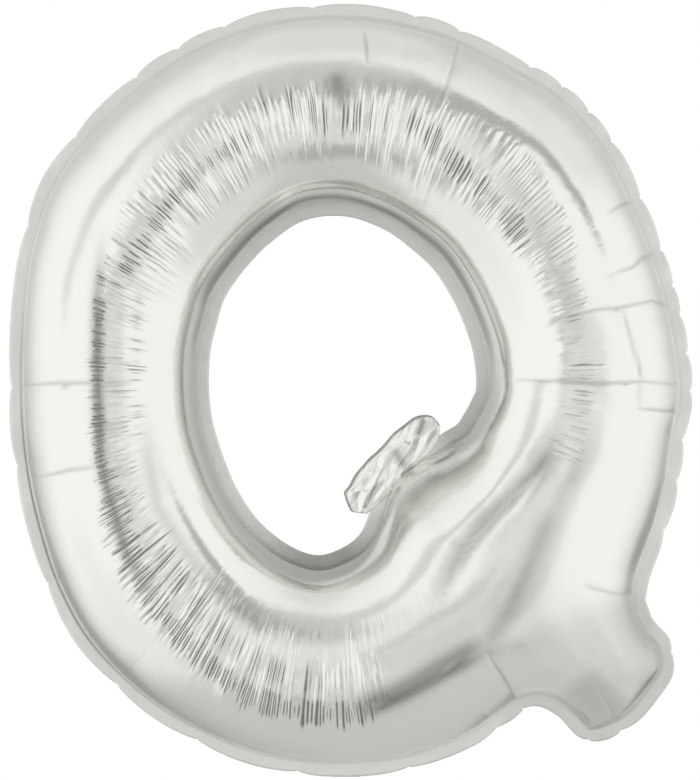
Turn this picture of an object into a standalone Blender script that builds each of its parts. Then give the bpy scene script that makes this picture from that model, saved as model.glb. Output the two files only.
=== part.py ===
"""Inflated foil letter balloon, a capital Q. Metres, +Z up, the front faces -Y.

The origin is the middle of the ring, in the plane where the two halves are welded together. Two half
shells of film meet in that plane at two flat welded hems, one round the outside and one round the hole.
A crinkled tip of the tail stands in the hole, and the filling neck is folded up behind the bottom hem.
"""

from math import cos, pi, radians, sin

import bmesh
import bpy
import numpy as np

WALL = 0.010  # thickness of each half shell
FULLNESS = 0.78  # bulge of the film, where 1 would be a round tube
HEM_WIDTH = 0.014  # from the weld line to the cut edge
HEM_THICKNESS = 0.0015
GAP = 0.0003  # between two pieces that lie face to face

TIP_THICKNESS = 0.010
TIP_SEAT_THICKNESS = 0.0018

NECK_WIDTH = 0.038
NECK_LENGTH = 0.080
NECK_FILM = 0.0008
LINER_FILM = 0.0006
LINER_WIDTH = 0.028
NECK_RISE = radians(26.0)  # slope of the folded neck above +Y, just under the back half
AXIS_DROP = 0.0015  # fold line below the hem's edge
NECK_START = 0.0019  # from the fold line to the neck's film

POINTS_PER_ROW = 3  # sections from one row of LETTER to the next
LINES_ACROSS = 20  # steps of the inflation grid from the hole to the outside
SMOOTHING_ROUNDS = 60  # of the inflation grid
ARC_STEPS = 10  # straight steps over the bulge of one half

# Cut edges of the flat hems, as angle and distance from the middle of the ring.
# Angles are in degrees, anticlockwise from +X as seen from the front, and distances in millimetres.
# Columns: outer angle, outer distance, hole angle, hole distance. The rows from 296 to 327 go round the tail.
LETTER = [
    (0, 428, 0, 162),
    (15, 424, 15, 163),
    (30, 431, 30, 166),
    (42, 447, 42, 172),
    (53, 457, 53, 180),
    (64, 456, 64, 187),
    (76, 464, 76, 198),
    (90, 469, 90, 208),
    (104, 470, 104, 209),
    (118, 465, 118, 198),
    (131, 457, 131, 189),
    (144, 452, 144, 183),
    (155, 438, 155, 175),
    (166, 422, 166, 171),
    (180, 414, 180, 168),
    (194, 419, 194, 169),
    (206, 431, 206, 172),
    (216, 447, 216, 178),
    (226, 461, 226, 187),
    (238, 471, 238, 199),
    (250, 478, 250, 209),
    (260, 482, 260, 213),
    (270, 482, 268, 203),
    (280, 480, 276, 184),
    (290, 471, 283, 151),
    (296, 461, 289, 133),
    (300.5, 460, 295, 124),
    (302.9, 485, 300, 119),
    (303.7, 524, 304, 117),
    (306, 541, 308, 116),
    (310.5, 550, 313, 117),
    (315, 545, 318, 119),
    (319, 537, 322, 122),
    (321.8, 510, 326, 126),
    (322.8, 474, 331, 131),
    (327, 446, 336, 138),
    (334, 436, 341, 147),
    (342, 430, 346, 151),
    (351, 424, 353, 157),
]

# Tip of the tail in the hole: hole angle where it is seated, then x and z of its free edge, in millimetres.
TIP = [
    (279.5, 4, -153),
    (287, 3, -124),
    (298, 21, -97),
    (310, 48, -73),
    (322, 73, -54),
    (335, 97, -38),
]


def clear_scene():
    for found in list(bpy.data.objects):
        bpy.data.objects.remove(found, do_unlink=True)


def new_collection(name):
    made = bpy.data.collections.new(name)
    bpy.context.scene.collection.children.link(made)
    return made


def new_material(name, colour, metallic, roughness):
    made = bpy.data.materials.new(name)
    made.use_nodes = True
    shader = made.node_tree.nodes["Principled BSDF"]
    shader.inputs["Base Color"].default_value = (*colour, 1.0)
    shader.inputs["Metallic"].default_value = metallic
    shader.inputs["Roughness"].default_value = roughness
    return made


def closed_curve(points, steps):
    """A smooth closed curve through the points, with this many steps from each one to the next."""
    t = (np.arange(steps) / steps)[None, :, None]
    before, here = np.roll(points, 1, axis=0)[:, None], points[:, None]
    after, later = np.roll(points, -1, axis=0)[:, None], np.roll(points, -2, axis=0)[:, None]
    curve = 0.5 * (
        2 * here
        + (after - before) * t
        + (2 * before - 5 * here + 4 * after - later) * t**2
        + (3 * here - before - 3 * after + later) * t**3
    )
    return curve.reshape(-1, points.shape[1])


def edge_of(angle_column, distance_column):
    """One cut edge of the letter as x and z, from two columns of LETTER."""
    table = np.array(LETTER, float)
    angle = np.radians(table[:, angle_column])
    distance = table[:, distance_column] / 1000
    corners = np.stack([distance * np.cos(angle), distance * np.sin(angle)], axis=1)
    return closed_curve(corners, POINTS_PER_ROW)


def inset(edge, width, side):
    """The edge moved by this width at right angles to itself: inwards for side 1, outwards for -1."""
    along = np.roll(edge, -1, axis=0) - np.roll(edge, 1, axis=0)
    across = np.stack([-along[:, 1], along[:, 0]], axis=1)
    return edge + side * width * across / np.linalg.norm(across, axis=1, keepdims=True)


def film_grid(hole_weld, outer_weld):
    """Points between the two weld lines, [step across, section].

    Each is moved to the middle of its neighbours, which bends the lines across so that they meet both welds
    fairly. Then the points of each line are spread evenly along it.
    """
    share = np.linspace(0, 1, LINES_ACROSS + 1)[:, None, None]
    grid = hole_weld + (outer_weld - hole_weld) * share
    for _ in range(SMOOTHING_ROUNDS):
        around = np.roll(grid, 1, axis=1) + np.roll(grid, -1, axis=1)
        grid[1:-1] = (grid[:-2] + grid[2:] + around[1:-1]) / 4
    steps = np.linalg.norm(np.diff(grid, axis=0), axis=2)
    place = np.vstack([np.zeros(grid.shape[1]), steps.cumsum(axis=0)])
    for section, line in enumerate(np.moveaxis(grid.copy(), 1, 0)):
        even = place[-1, section] * share.ravel()
        grid[:, section, 0] = np.interp(even, place[:, section], line[:, 0])
        grid[:, section, 1] = np.interp(even, place[:, section], line[:, 1])
    return grid


def inflation(grid):
    """Height of the inflated film at each grid point: the root of a soap film's rise over the same outline.

    The rise solves a Poisson equation with no height at the welds, by triangles and cotangent weights. Over a
    long straight band its root is a half circle.
    """
    rows, sections = grid.shape[:2]
    points = grid.reshape(-1, 2)
    index = np.arange(rows * sections).reshape(rows, sections)
    a, b = index[:-1].ravel(), np.roll(index, -1, axis=1)[:-1].ravel()
    c, d = index[1:].ravel(), np.roll(index, -1, axis=1)[1:].ravel()
    corners = np.concatenate([np.stack([a, b, d], axis=1), np.stack([a, d, c], axis=1)])
    stiffness = np.zeros((len(points), len(points)))
    load = np.zeros(len(points))
    for turn in range(3):
        i, j, k = np.roll(corners, turn, axis=1).T
        first, second = points[i] - points[k], points[j] - points[k]
        area = np.abs(first[:, 0] * second[:, 1] - first[:, 1] * second[:, 0])
        weight = (first * second).sum(axis=1) / area / 2
        np.add.at(stiffness, (i, j), -weight)
        np.add.at(stiffness, (j, i), -weight)
        np.add.at(stiffness, (i, i), weight)
        np.add.at(stiffness, (j, j), weight)
        np.add.at(load, k, area / 3)
    free = index[1:-1].ravel()
    rise = np.zeros(len(points))
    rise[free] = np.linalg.solve(stiffness[np.ix_(free, free)], load[free])
    return FULLNESS * np.sqrt(rise).reshape(rows, sections)


def across(grid, share):
    """The grid's values at this share of the way from the hole to the outside, one share for each section."""
    place = np.clip(share, 0, 1) * LINES_ACROSS
    low = np.minimum(place.astype(int), LINES_ACROSS - 1)
    part = place - low
    section = np.arange(grid.shape[1])
    if grid.ndim == 3:
        part = part[:, None]
    return grid[low, section] * (1 - part) + grid[low + 1, section] * part


def wall_share(grid):
    """How far the wall reaches in from each weld, as a share of the way across: at the hole, at the outside."""
    steps = np.linalg.norm(np.diff(grid, axis=0), axis=2)
    return WALL / steps[0] / LINES_ACROSS, WALL / steps[-1] / LINES_ACROSS


def half_sections(grid, rise, side):
    """Closed sections of one half shell, [section, point]: out over the bulge, and back inside the wall."""
    hole_wall, outer_wall = wall_share(grid)
    crest = rise.max(axis=0)
    rim = HEM_THICKNESS / 2 + GAP
    outside, inside = [], []
    for turn in np.linspace(0, pi, ARC_STEPS + 1):
        share = np.full(grid.shape[1], (1 - cos(turn)) / 2)
        height = across(rise**2, share) ** 0.5
        outside.append((across(grid, share), height))
        inner_share = hole_wall + share * (1 - hole_wall - outer_wall)
        inside.append((across(grid, inner_share), height * (crest - WALL) / crest))
    rings = [
        np.stack([flat[:, 0], side * (rim + height), flat[:, 1]], axis=1)
        for flat, height in outside + inside[::-1]
    ]
    return np.stack(rings, axis=1)


def hem_sections(first, second):
    """Closed sections of a flat hem between two lines in the welding plane."""
    half = HEM_THICKNESS / 2
    corners = [(first, -half), (second, -half), (second, half), (first, half)]
    rings = [np.stack([line[:, 0], np.full(len(line), y), line[:, 1]], axis=1) for line, y in corners]
    return np.stack(rings, axis=1)


def loft(name, sections, closed, material, collection):
    """A closed solid through sections with equal numbers of points: a ring, or a bar with two end faces."""
    count, around = sections.shape[:2]
    shape = bmesh.new()
    verts = [[shape.verts.new(point) for point in section] for section in sections]
    for i in range(count if closed else count - 1):
        here, after = verts[i], verts[(i + 1) % count]
        for k in range(around):
            following = (k + 1) % around
            shape.faces.new((here[k], here[following], after[following], after[k]))
    if not closed:
        shape.faces.new(verts[0][::-1])
        shape.faces.new(verts[-1])
    bmesh.ops.recalc_face_normals(shape, faces=shape.faces)
    mesh = bpy.data.meshes.new(name)
    shape.to_mesh(mesh)
    shape.free()
    mesh.shade_smooth()
    mesh.set_sharp_from_angle(angle=radians(35))
    mesh.materials.append(material)
    made = bpy.data.objects.new(name, mesh)
    collection.objects.link(made)
    return made


def tip_sections(hole_edge):
    """Sections of the tail's tip, each a lens from its seat on the hem of the hole to its free edge."""
    table = np.array(TIP, float)
    angles = np.degrees(np.arctan2(hole_edge[:, 1], hole_edge[:, 0])) % 360
    sections = []
    for angle, edge in zip(angles, hole_edge):
        if not TIP[0][0] <= angle <= TIP[-1][0]:
            continue
        seat = edge * (1 - GAP / np.linalg.norm(edge))
        free = np.array([np.interp(angle, table[:, 0], table[:, column]) for column in (1, 2)]) / 1000
        lower, upper = [], []
        for share in (0, 0.25, 0.6, 1):
            flat = seat + (free - seat) * share
            swell = sin(pi * min(share, 0.9)) * (TIP_THICKNESS - TIP_SEAT_THICKNESS)
            half = (TIP_SEAT_THICKNESS + swell) / 2
            lower.append((flat[0], -half, flat[1]))
            upper.append((flat[0], half, flat[1]))
        sections.append(lower + upper[::-1])
    return np.array(sections)


def add_sheet(name, width, length, start, thickness, offset, pivot, material, collection):
    """A flat sheet of film on the folded neck: start is its distance from the fold, offset its place through it."""
    shape = bmesh.new()
    bmesh.ops.create_cube(shape, size=1)
    bmesh.ops.scale(shape, vec=(width, length, thickness), verts=shape.verts)
    bmesh.ops.translate(shape, vec=(0, start + length / 2, offset), verts=shape.verts)
    mesh = bpy.data.meshes.new(name)
    shape.to_mesh(mesh)
    shape.free()
    mesh.materials.append(material)
    made = bpy.data.objects.new(name, mesh)
    made.parent = pivot
    collection.objects.link(made)


def add_neck(bottom, film, liner, collection):
    """The filling neck: two films with the valve's liner between them, on a pivot at the fold line."""
    pivot = bpy.data.objects.new("neck_fold", None)
    pivot.location = (0, 0, bottom - AXIS_DROP)
    pivot.rotation_euler = (NECK_RISE, 0, 0)
    collection.objects.link(pivot)
    layer = LINER_FILM / 2 + GAP + NECK_FILM / 2
    outer = ("neck_front_film", NECK_WIDTH, NECK_LENGTH, NECK_START, NECK_FILM, -layer, pivot)
    inner = ("neck_back_film", NECK_WIDTH, NECK_LENGTH, NECK_START, NECK_FILM, layer, pivot)
    middle = ("valve_liner", LINER_WIDTH, NECK_LENGTH, NECK_START, LINER_FILM, 0, pivot)
    add_sheet(*outer, film, collection)
    add_sheet(*inner, film, collection)
    add_sheet(*middle, liner, collection)


def main():
    clear_scene()
    balloon = new_collection("letter_foil_balloon")
    film = new_material("silver_film", (0.80, 0.80, 0.77), 1.0, 0.22)
    hem_film = new_material("welded_hem", (0.74, 0.74, 0.71), 1.0, 0.32)
    liner = new_material("clear_liner", (0.86, 0.86, 0.84), 0.0, 0.35)

    outer_edge = edge_of(0, 1)
    hole_edge = edge_of(2, 3)
    outer_weld = inset(outer_edge, HEM_WIDTH, 1)
    hole_weld = inset(hole_edge, HEM_WIDTH, -1)
    grid = film_grid(hole_weld, outer_weld)
    rise = inflation(grid)

    loft("front_panel", half_sections(grid, rise, -1), True, film, balloon)
    loft("back_panel", half_sections(grid, rise, 1), True, film, balloon)
    hole_wall, outer_wall = wall_share(grid)
    loft("outer_hem", hem_sections(outer_edge, across(grid, 1 - outer_wall)), True, hem_film, balloon)
    loft("hole_hem", hem_sections(hole_edge, across(grid, hole_wall)), True, hem_film, balloon)
    loft("tail_tip", tip_sections(hole_edge), False, film, balloon)
    add_neck(outer_edge[:, 1].min(), film, liner, balloon)


main()
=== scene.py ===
"""Looks of an inflated silver foil balloon, a capital Q: two puckered halves of film, their welded hems, the
crinkled tip of the tail and the filling neck. Metres, +Z up, the front faces -Y."""

from math import cos, pi, radians, sin

import bmesh
import bpy
import numpy as np
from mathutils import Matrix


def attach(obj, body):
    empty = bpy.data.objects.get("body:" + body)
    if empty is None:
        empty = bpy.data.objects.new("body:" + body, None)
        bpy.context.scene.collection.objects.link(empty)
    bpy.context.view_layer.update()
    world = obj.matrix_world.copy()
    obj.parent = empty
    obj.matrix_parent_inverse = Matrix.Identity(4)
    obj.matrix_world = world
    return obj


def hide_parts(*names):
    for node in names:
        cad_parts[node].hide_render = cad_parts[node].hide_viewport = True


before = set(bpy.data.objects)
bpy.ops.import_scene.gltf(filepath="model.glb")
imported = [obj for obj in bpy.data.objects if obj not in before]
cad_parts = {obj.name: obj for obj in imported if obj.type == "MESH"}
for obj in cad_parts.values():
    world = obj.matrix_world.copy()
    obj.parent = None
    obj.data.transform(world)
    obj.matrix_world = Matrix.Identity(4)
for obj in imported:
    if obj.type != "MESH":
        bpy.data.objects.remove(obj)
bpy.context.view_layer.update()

# The letter's outline and its bulge, as on the part
HEM_WIDTH = 0.014  # from the weld line to the cut edge
FULLNESS = 0.84  # bulge of the film, where 1 would be a round tube
WELD_EASE = 0.030  # height below which the film leaves the outer weld at a slant, not square to it
TIP_EASE = 0.060  # the same at the hole's weld, along the root of the tail's tip
CREST_SHIFT = 0.05  # share of the width by which the crest lies further out than a soap film's
ROWS_APART = 4  # sections of the coarse inflation grid for each row of LETTER
LINES_ACROSS = 24  # steps of that grid from the hole to the outside
SMOOTHING_ROUNDS = 110

# Cut edges of the flat hems, as angle and distance from the middle of the ring.
# Angles are in degrees, anticlockwise from +X as seen from the front, and distances in millimetres.
# Columns: outer angle, outer distance, hole angle, hole distance. Rows 296 to 327 go round the tail.
LETTER = [
    (0, 428, 0, 162),
    (15, 424, 15, 163),
    (30, 431, 30, 166),
    (42, 447, 42, 172),
    (53, 457, 53, 180),
    (64, 456, 64, 187),
    (76, 464, 76, 198),
    (90, 469, 90, 208),
    (104, 470, 104, 209),
    (118, 465, 118, 198),
    (131, 457, 131, 189),
    (144, 452, 144, 183),
    (155, 438, 155, 175),
    (166, 422, 166, 171),
    (180, 414, 180, 168),
    (194, 419, 194, 169),
    (206, 431, 206, 172),
    (216, 447, 216, 178),
    (226, 461, 226, 187),
    (238, 471, 238, 199),
    (250, 478, 250, 209),
    (260, 482, 260, 213),
    (270, 482, 268, 203),
    (280, 480, 276, 184),
    (290, 471, 283, 151),
    (296, 461, 289, 133),
    (300.5, 460, 295, 124),
    (302.9, 485, 300, 119),
    (303.7, 524, 304, 117),
    (306, 541, 308, 116),
    (310.5, 550, 313, 117),
    (315, 545, 318, 119),
    (319, 537, 322, 122),
    (321.8, 510, 326, 126),
    (322.8, 474, 331, 131),
    (327, 446, 336, 138),
    (334, 436, 341, 147),
    (342, 430, 346, 151),
    (351, 424, 353, 157),
]

# Fine surfaces
FINE_PER_ROW = 34  # sections of the film for each row of LETTER
FINE_ACROSS = 75  # points of the film from weld to weld
FILM_LIFT = 0.0004  # from the middle of the hem to the film on either side
HEM_THICKNESS = 0.0007
HEM_STEP = 0.003  # of the hems' map, for each point across
# painted shade on the outer hem beside the tail
TAIL_HEM_SHADE = 0.16
TAIL_MIDDLE = (0.335, -0.345)
PLEAT_SPACING = 0.0064  # of the fine pleats, on the film's middle line
PLEAT_HEIGHT = 0.0009
GROOVE_DEPTH = 0.00022  # of the finer grooves among the pleats
HAIR_HEIGHT = 0.0003  # of the finest lines across the film, and of its unevenness everywhere
WRINKLE_SLANT = 0.004
CREASE_LINE = 0.0022  # half width of the painted dark line along a sharp fold
FULL_PILLOW = 0.09  # distance between puckers from which the film swells fully
SCALLOP_HEIGHT, FULL_SCALLOP = 0.0046, 0.05  # the same for the hem's cut edge

# Painted shade along the welds: distances from the weld over which it fades
WELD_LINE = (0.002, 0.005)
WELD_BAND = (0.012, 0.045)
HOLE_WALL = (0.015, 0.023)
# Round the hole, distance from its weld and half width: painted groove shade, then a fold's ridge and furrow
HOLE_GROOVE_SHADE = (0.0072, 0.0040)
HOLE_RIDGE = (0.017, 0.0022)
HOLE_FURROW = (0.021, 0.0026)
HOLE_FOLD_HEIGHT = 0.0007

# Where the film is gathered into radial wrinkles. Columns: angle in degrees, shares of the way from the
# hole's weld to the outer one where they start and end, and their strength.
GATHERS = [
    (0, 0.34, 0.60, 0.55),
    (20, 0.34, 0.58, 0.6),
    (35, 0.32, 0.64, 0.9),
    (48, 0.24, 0.65, 1.0),
    (60, 0.20, 0.70, 1.0),
    (72, 0.18, 0.67, 0.85),
    (84, 0.17, 0.64, 0.6),
    (96, 0.18, 0.65, 0.75),
    (108, 0.19, 0.63, 0.9),
    (120, 0.20, 0.62, 1.0),
    (135, 0.20, 0.62, 1.1),
    (150, 0.21, 0.61, 0.9),
    (165, 0.24, 0.62, 0.5),
    (180, 0.26, 0.62, 0.4),
    (195, 0.28, 0.64, 0.5),
    (210, 0.34, 0.67, 0.9),
    (226, 0.36, 0.71, 1.2),
    (238, 0.30, 0.74, 1.2),
    (250, 0.28, 0.78, 1.1),
    (262, 0.26, 0.83, 1.1),
    (271, 0.28, 0.84, 1.0),
    (277, 0.34, 0.80, 0.3),
    (281, 0.40, 0.76, 0.0),
    (335, 0.34, 0.50, 0.0),
    (350, 0.34, 0.58, 0.35),
]

# Puckers of the outer hem, where folds run in from its cut edge: x and z in millimetres
PUCKERS = [
    (429, 40), (418, 88), (403, 122), (387, 164), (360, 230), (329, 299), (295, 332), (269, 370),
    (226, 387), (139, 429), (88, 454), (-40, 461), (-148, 440), (-205, 414), (-252, 373), (-328, 302),
    (-385, 194), (-410, -4), (-396, -98), (-352, -240), (-274, -362), (-180, -430), (-60, -476), (80, -476),
    (190, -424), (222, -402), (300, -445), (345, -436), (402, -330), (376, -265), (391, -179), (407, -117),
    (417, -68), (422, -8),
]

# Long folds of the front film: shape of the groove, depth and width in metres, then its corners as x and z
# in millimetres
FRONT_FOLDS = [
    ("sharp", 0.0014, 0.004, [(200, 6), (260, 5), (313, 2), (359, 4), (410, 0)]),
    ("sharp", 0.0010, 0.005, [(425, 90), (373, 102), (332, 93), (301, 90), (260, 80), (240, 68)]),
    ("sharp", 0.0010, 0.005, [(366, 233), (334, 217), (315, 206)]),
    ("sharp", 0.0012, 0.004, [(141, 428), (136, 405), (127, 375), (115, 338)]),
    ("sharp", 0.0008, 0.004, [(23, 428), (26, 408), (27, 384)]),
    ("sharp", 0.0010, 0.005, [(394, 168), (359, 152), (348, 142), (320, 133)]),
    ("sharp", 0.0010, 0.005, [(332, 92), (342, 64), (353, 23), (357, 9), (352, -32)]),
    ("sharp", 0.0010, 0.005, [(350, -28), (412, -34)]),
    ("soft", 0.0016, 0.011, [(200, 286), (219, 256), (243, 195), (262, 150)]),
    ("soft", 0.0030, 0.024, [(280, 110), (290, 40), (288, -20), (272, -70), (240, -120)]),
    ("soft", 0.0030, 0.012,
     [(262, -30), (246, -74), (228, -102), (200, -130), (175, -154), (144, -191), (105, -270)]),
    ("soft", 0.0026, 0.016,
     [(305, -40), (284, -83), (259, -123), (237, -173), (218, -218), (188, -278), (165, -312)]),
    ("soft", 0.0007, 0.007, [(345, -15), (339, -62), (315, -120), (299, -160), (284, -197)]),
    ("sharp", 0.0012, 0.005, [(284, -240), (310, -247), (333, -253), (366, -258)]),
    ("sharp", 0.0022, 0.006, [(338, -418), (317, -385), (305, -362)]),
    ("sharp", 0.0022, 0.006, [(338, -418), (360, -396), (390, -370)]),
    ("sharp", 0.0010, 0.005, [(168, -318), (186, -344), (199, -366), (210, -385), (219, -400)]),
    ("soft", -0.0012, 0.009, [(187, -340), (215, -337), (245, -341), (270, -352), (290, -376)]),
    ("sharp", 0.0014, 0.004, [(-414, -4), (-399, -1), (-349, 2), (-300, 2), (-255, 3)]),
    ("sharp", 0.0010, 0.005, [(-390, -116), (-363, -110), (-328, -102), (-290, -98)]),
    ("soft", 0.0010, 0.008, [(-248, 127), (-252, 60), (-252, 5)]),
    ("soft", 0.0010, 0.014,
     [(-234, -116), (-225, -146), (-201, -181), (-181, -211), (-154, -242), (-120, -268)]),
    ("soft", 0.0006, 0.009, [(-194, -108), (-138, -192), (-98, -230)]),
]

# Where hard short puckers make the front film look streaked, by fine pleats in its bump and painted shade
# in their valleys: strength, half width in metres, then x and z in millimetres along the middle of the patch
FRONT_STREAKS = [
    (0.80, 0.013, [(-80, 318), (-158, 269), (-184, 250), (-210, 216), (-234, 181), (-262, 140), (-285, 90)]),
    (0.90, 0.008, [(-286, 180), (-294, 120), (-297, 0), (-294, -80), (-283, -140), (-270, -180)]),
    (0.35, 0.012, [(-240, 150), (-249, 90), (-252, 0), (-246, -80), (-236, -120)]),
    (1.0, 0.016, [(-288, -60), (-277, -140), (-251, -213), (-217, -274), (-179, -318), (-116, -366)]),
    (1.0, 0.017, [(-200, -300), (-116, -374), (-57, -391), (0, -395), (76, -388)]),
    (0.6, 0.022,
     [(-258, -120), (-226, -193), (-190, -252), (-150, -296), (-88, -340), (-40, -356), (30, -352)]),
    (0.35, 0.014, [(-191, -197), (-148, -237), (-92, -284), (-55, -302), (-20, -305)]),
    (0.80, 0.015, [(50, 330), (93, 308), (130, 265), (167, 234), (200, 198), (230, 130)]),
    (0.6, 0.022, [(-130, 350), (-84, 345), (-30, 320), (20, 320), (80, 330)]),
    (0.3, 0.014, [(262, 140), (284, 20), (284, -90)]),
]

# Painted shade: soft grey patches of the front film in place of darker reflections: strength, half width in
# metres, then x and z in millimetres along them
FRONT_SHADES = [
    (0.62, 0.011, [(-14, 380), (-6, 352), (2, 324)]),
    (0.84, 0.007,
     [(-290, 200), (-297, 90), (-297, 0), (-293, -90), (-283, -130), (-262, -200), (-215, -290)]),
    (0.80, 0.014, [(-12, -388), (29, -379), (57, -369), (86, -353), (116, -334), (145, -318), (186, -291)]),
    (0.92, 0.008, [(4, -400), (31, -391), (60, -376), (90, -361), (120, -344), (149, -328), (180, -310)]),
    (0.60, 0.009, [(262, -40), (246, -74), (228, -102), (200, -130), (175, -154), (144, -191), (110, -260)]),
    (0.26, 0.013, [(305, -40), (284, -83), (259, -123), (237, -173), (218, -218), (201, -253), (180, -295)]),
    (0.48, 0.014,
     [(262, -118), (237, -173), (218, -218), (201, -253), (188, -278), (165, -318), (150, -345)]),
    (0.32, 0.009,
     [(-240, -20), (-236, -90), (-225, -146), (-190, -200), (-154, -242), (-92, -296), (-50, -310)]),
    (0.24, 0.013, [(284, 10), (278, 70), (264, 120), (248, 160), (226, 205), (196, 246), (160, 277)]),
    (0.40, 0.050, [(330, -230), (352, -300), (370, -340), (350, -400)]),
    (0.30, 0.040, [(270, -350), (310, -390), (350, -420)]),
    (0.10, 0.014, [(400, -20), (395, -93), (380, -148), (355, -200), (320, -250)]),
    (0.20, 0.024, [(60, 420), (120, 395), (180, 360), (240, 310), (290, 260), (330, 200)]),
]

# Painted shade along the film's two welds. Columns: angle, strength of a line at the outer weld, of a band
# inside it, of a groove beside the hole's weld, of the film's wall round the hole, and of the hole's hem
RIM_SHADES = [
    (0, 0.12, 0.0, 0.12, 0.28, 0.34),
    (15, 0.12, 0.0, 0.32, 0.15, 0.18),
    (30, 0.12, 0.0, 0.48, 0.10, 0.13),
    (45, 0.12, 0.0, 0.55, 0.10, 0.14),
    (60, 0.12, 0.0, 0.62, 0.10, 0.23),
    (75, 0.12, 0.0, 0.74, 0.10, 0.23),
    (90, 0.12, 0.0, 0.88, 0.10, 0.29),
    (105, 0.12, 0.0, 0.92, 0.10, 0.29),
    (120, 0.12, 0.0, 0.62, 0.10, 0.25),
    (135, 0.12, 0.0, 0.48, 0.15, 0.19),
    (150, 0.12, 0.0, 0.22, 0.30, 0.17),
    (165, 0.16, 0.05, 0.0, 0.38, 0.14),
    (180, 0.40, 0.12, 0.0, 0.44, 0.18),
    (195, 0.95, 0.28, 0.0, 0.46, 0.09),
    (210, 0.90, 0.24, 0.0, 0.46, 0.08),
    (225, 0.75, 0.32, 0.0, 0.46, 0.05),
    (240, 0.40, 0.38, 0.0, 0.44, 0.18),
    (255, 0.10, 0.20, 0.0, 0.56, 0.65),
    (270, 0.0, 0.05, 0.0, 0.58, 0.70),
    (285, 0.12, 0.10, 0.0, 0.58, 0.0),
    (300, 0.0, 0.10, 0.0, 0.0, 0.0),
    (315, 0.30, 0.15, 0.0, 0.0, 0.0),
    (330, 0.0, 0.0, 0.08, 0.44, 0.46),
    (345, 0.0, 0.0, 0.08, 0.40, 0.42),
]

# The same for the back film
BACK_FOLDS = [
    ("sharp", 0.0014, 0.004, [(200, 30), (260, 28), (313, 31), (359, 26), (412, 30)]),
    ("sharp", 0.0012, 0.005, [(360, 233), (330, 212), (300, 200)]),
    ("sharp", 0.0012, 0.004, [(-414, 66), (-349, 60), (-290, 62), (-240, 52)]),
    ("sharp", 0.0010, 0.005, [(-388, -150), (-340, -138), (-290, -120)]),
    ("soft", 0.0050, 0.014, [(268, -34), (240, -80), (214, -125), (180, -155), (146, -206)]),
    ("soft", 0.0060, 0.014, [(-30, 352), (-100, 350), (-180, 318), (-240, 276), (-282, 220)]),
    ("sharp", 0.0020, 0.006, [(340, -420), (320, -388), (308, -360)]),
    ("sharp", 0.0016, 0.006, [(165, -312), (186, -344), (199, -366), (222, -405)]),
]

BACK_STREAKS = [
    (0.8, 0.014, [(130, 285), (184, 250), (222, 200), (258, 150)]),
    (0.9, 0.010, [(292, 100), (297, 0), (290, -90)]),
    (0.9, 0.012, [(-150, -350), (-60, -398), (40, -400)]),
    (0.8, 0.014, [(-80, 320), (-140, 268), (-200, 205)]),
]


def smooth(low, high, value):
    """0 below low, 1 above high, and a smooth step between."""
    t = np.clip((value - low) / (high - low), 0, 1)
    return t * t * (3 - 2 * t)


def bell(value, middle, width):
    """A Gaussian bell: 1 at its middle, and 1/e at a width from it."""
    return np.exp(-(((value - middle) / width) ** 2))


def cubic(before, here, after, later, t):
    """A curve from the second of four rows, at t = 0, to the third, at 1.

    Its slope at either one is half the step between that row's two neighbours.
    """
    bend = 2 * before - 5 * here + 4 * after - later + t * (3 * (here - after) + later - before)
    return here + 0.5 * t * (after - before + t * bend)


def closed_sample(rows, place):
    """Values of a closed table at fractional row numbers, on a cubic."""
    low = np.floor(place).astype(int)
    t = (place - low).reshape(-1, *[1] * (rows.ndim - 1))
    return cubic(*(rows[(low + k) % len(rows)] for k in (-1, 0, 1, 2)), t)


def open_sample(rows, place):
    """The same for a table with two ends, each carried on in a straight line."""
    ends = np.concatenate([2 * rows[:1] - rows[1:2], rows, 2 * rows[-1:] - rows[-2:-1]])
    low = np.clip(np.floor(place).astype(int), 0, len(rows) - 2)
    t = (place - low).reshape(-1, *[1] * (rows.ndim - 1))
    return cubic(*(ends[low + k] for k in range(4)), t)


def evenly(line, count):
    """Points evenly spaced along a line of points."""
    steps = np.linalg.norm(np.diff(line, axis=0), axis=1)
    place = np.concatenate([[0], steps.cumsum()])
    even = np.linspace(0, place[-1], count)
    return np.stack([np.interp(even, place, line[:, axis]) for axis in (0, 1)], axis=1)


def cut_edge(angle_column, distance_column, per_row):
    """One cut edge of the letter as x and z: a closed cubic through the points of LETTER."""
    table = np.array(LETTER, float)
    angle = np.radians(table[:, angle_column])
    distance = table[:, distance_column, None] / 1000
    corners = distance * np.stack([np.cos(angle), np.sin(angle)], axis=1)
    return closed_sample(corners, np.arange(len(corners) * per_row) / per_row)


def inward(edge):
    """Unit vectors at right angles to a closed edge, to the left of its direction."""
    along = np.roll(edge, -1, axis=0) - np.roll(edge, 1, axis=0)
    across = np.stack([-along[:, 1], along[:, 0]], axis=1)
    return across / np.linalg.norm(across, axis=1, keepdims=True)


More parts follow.
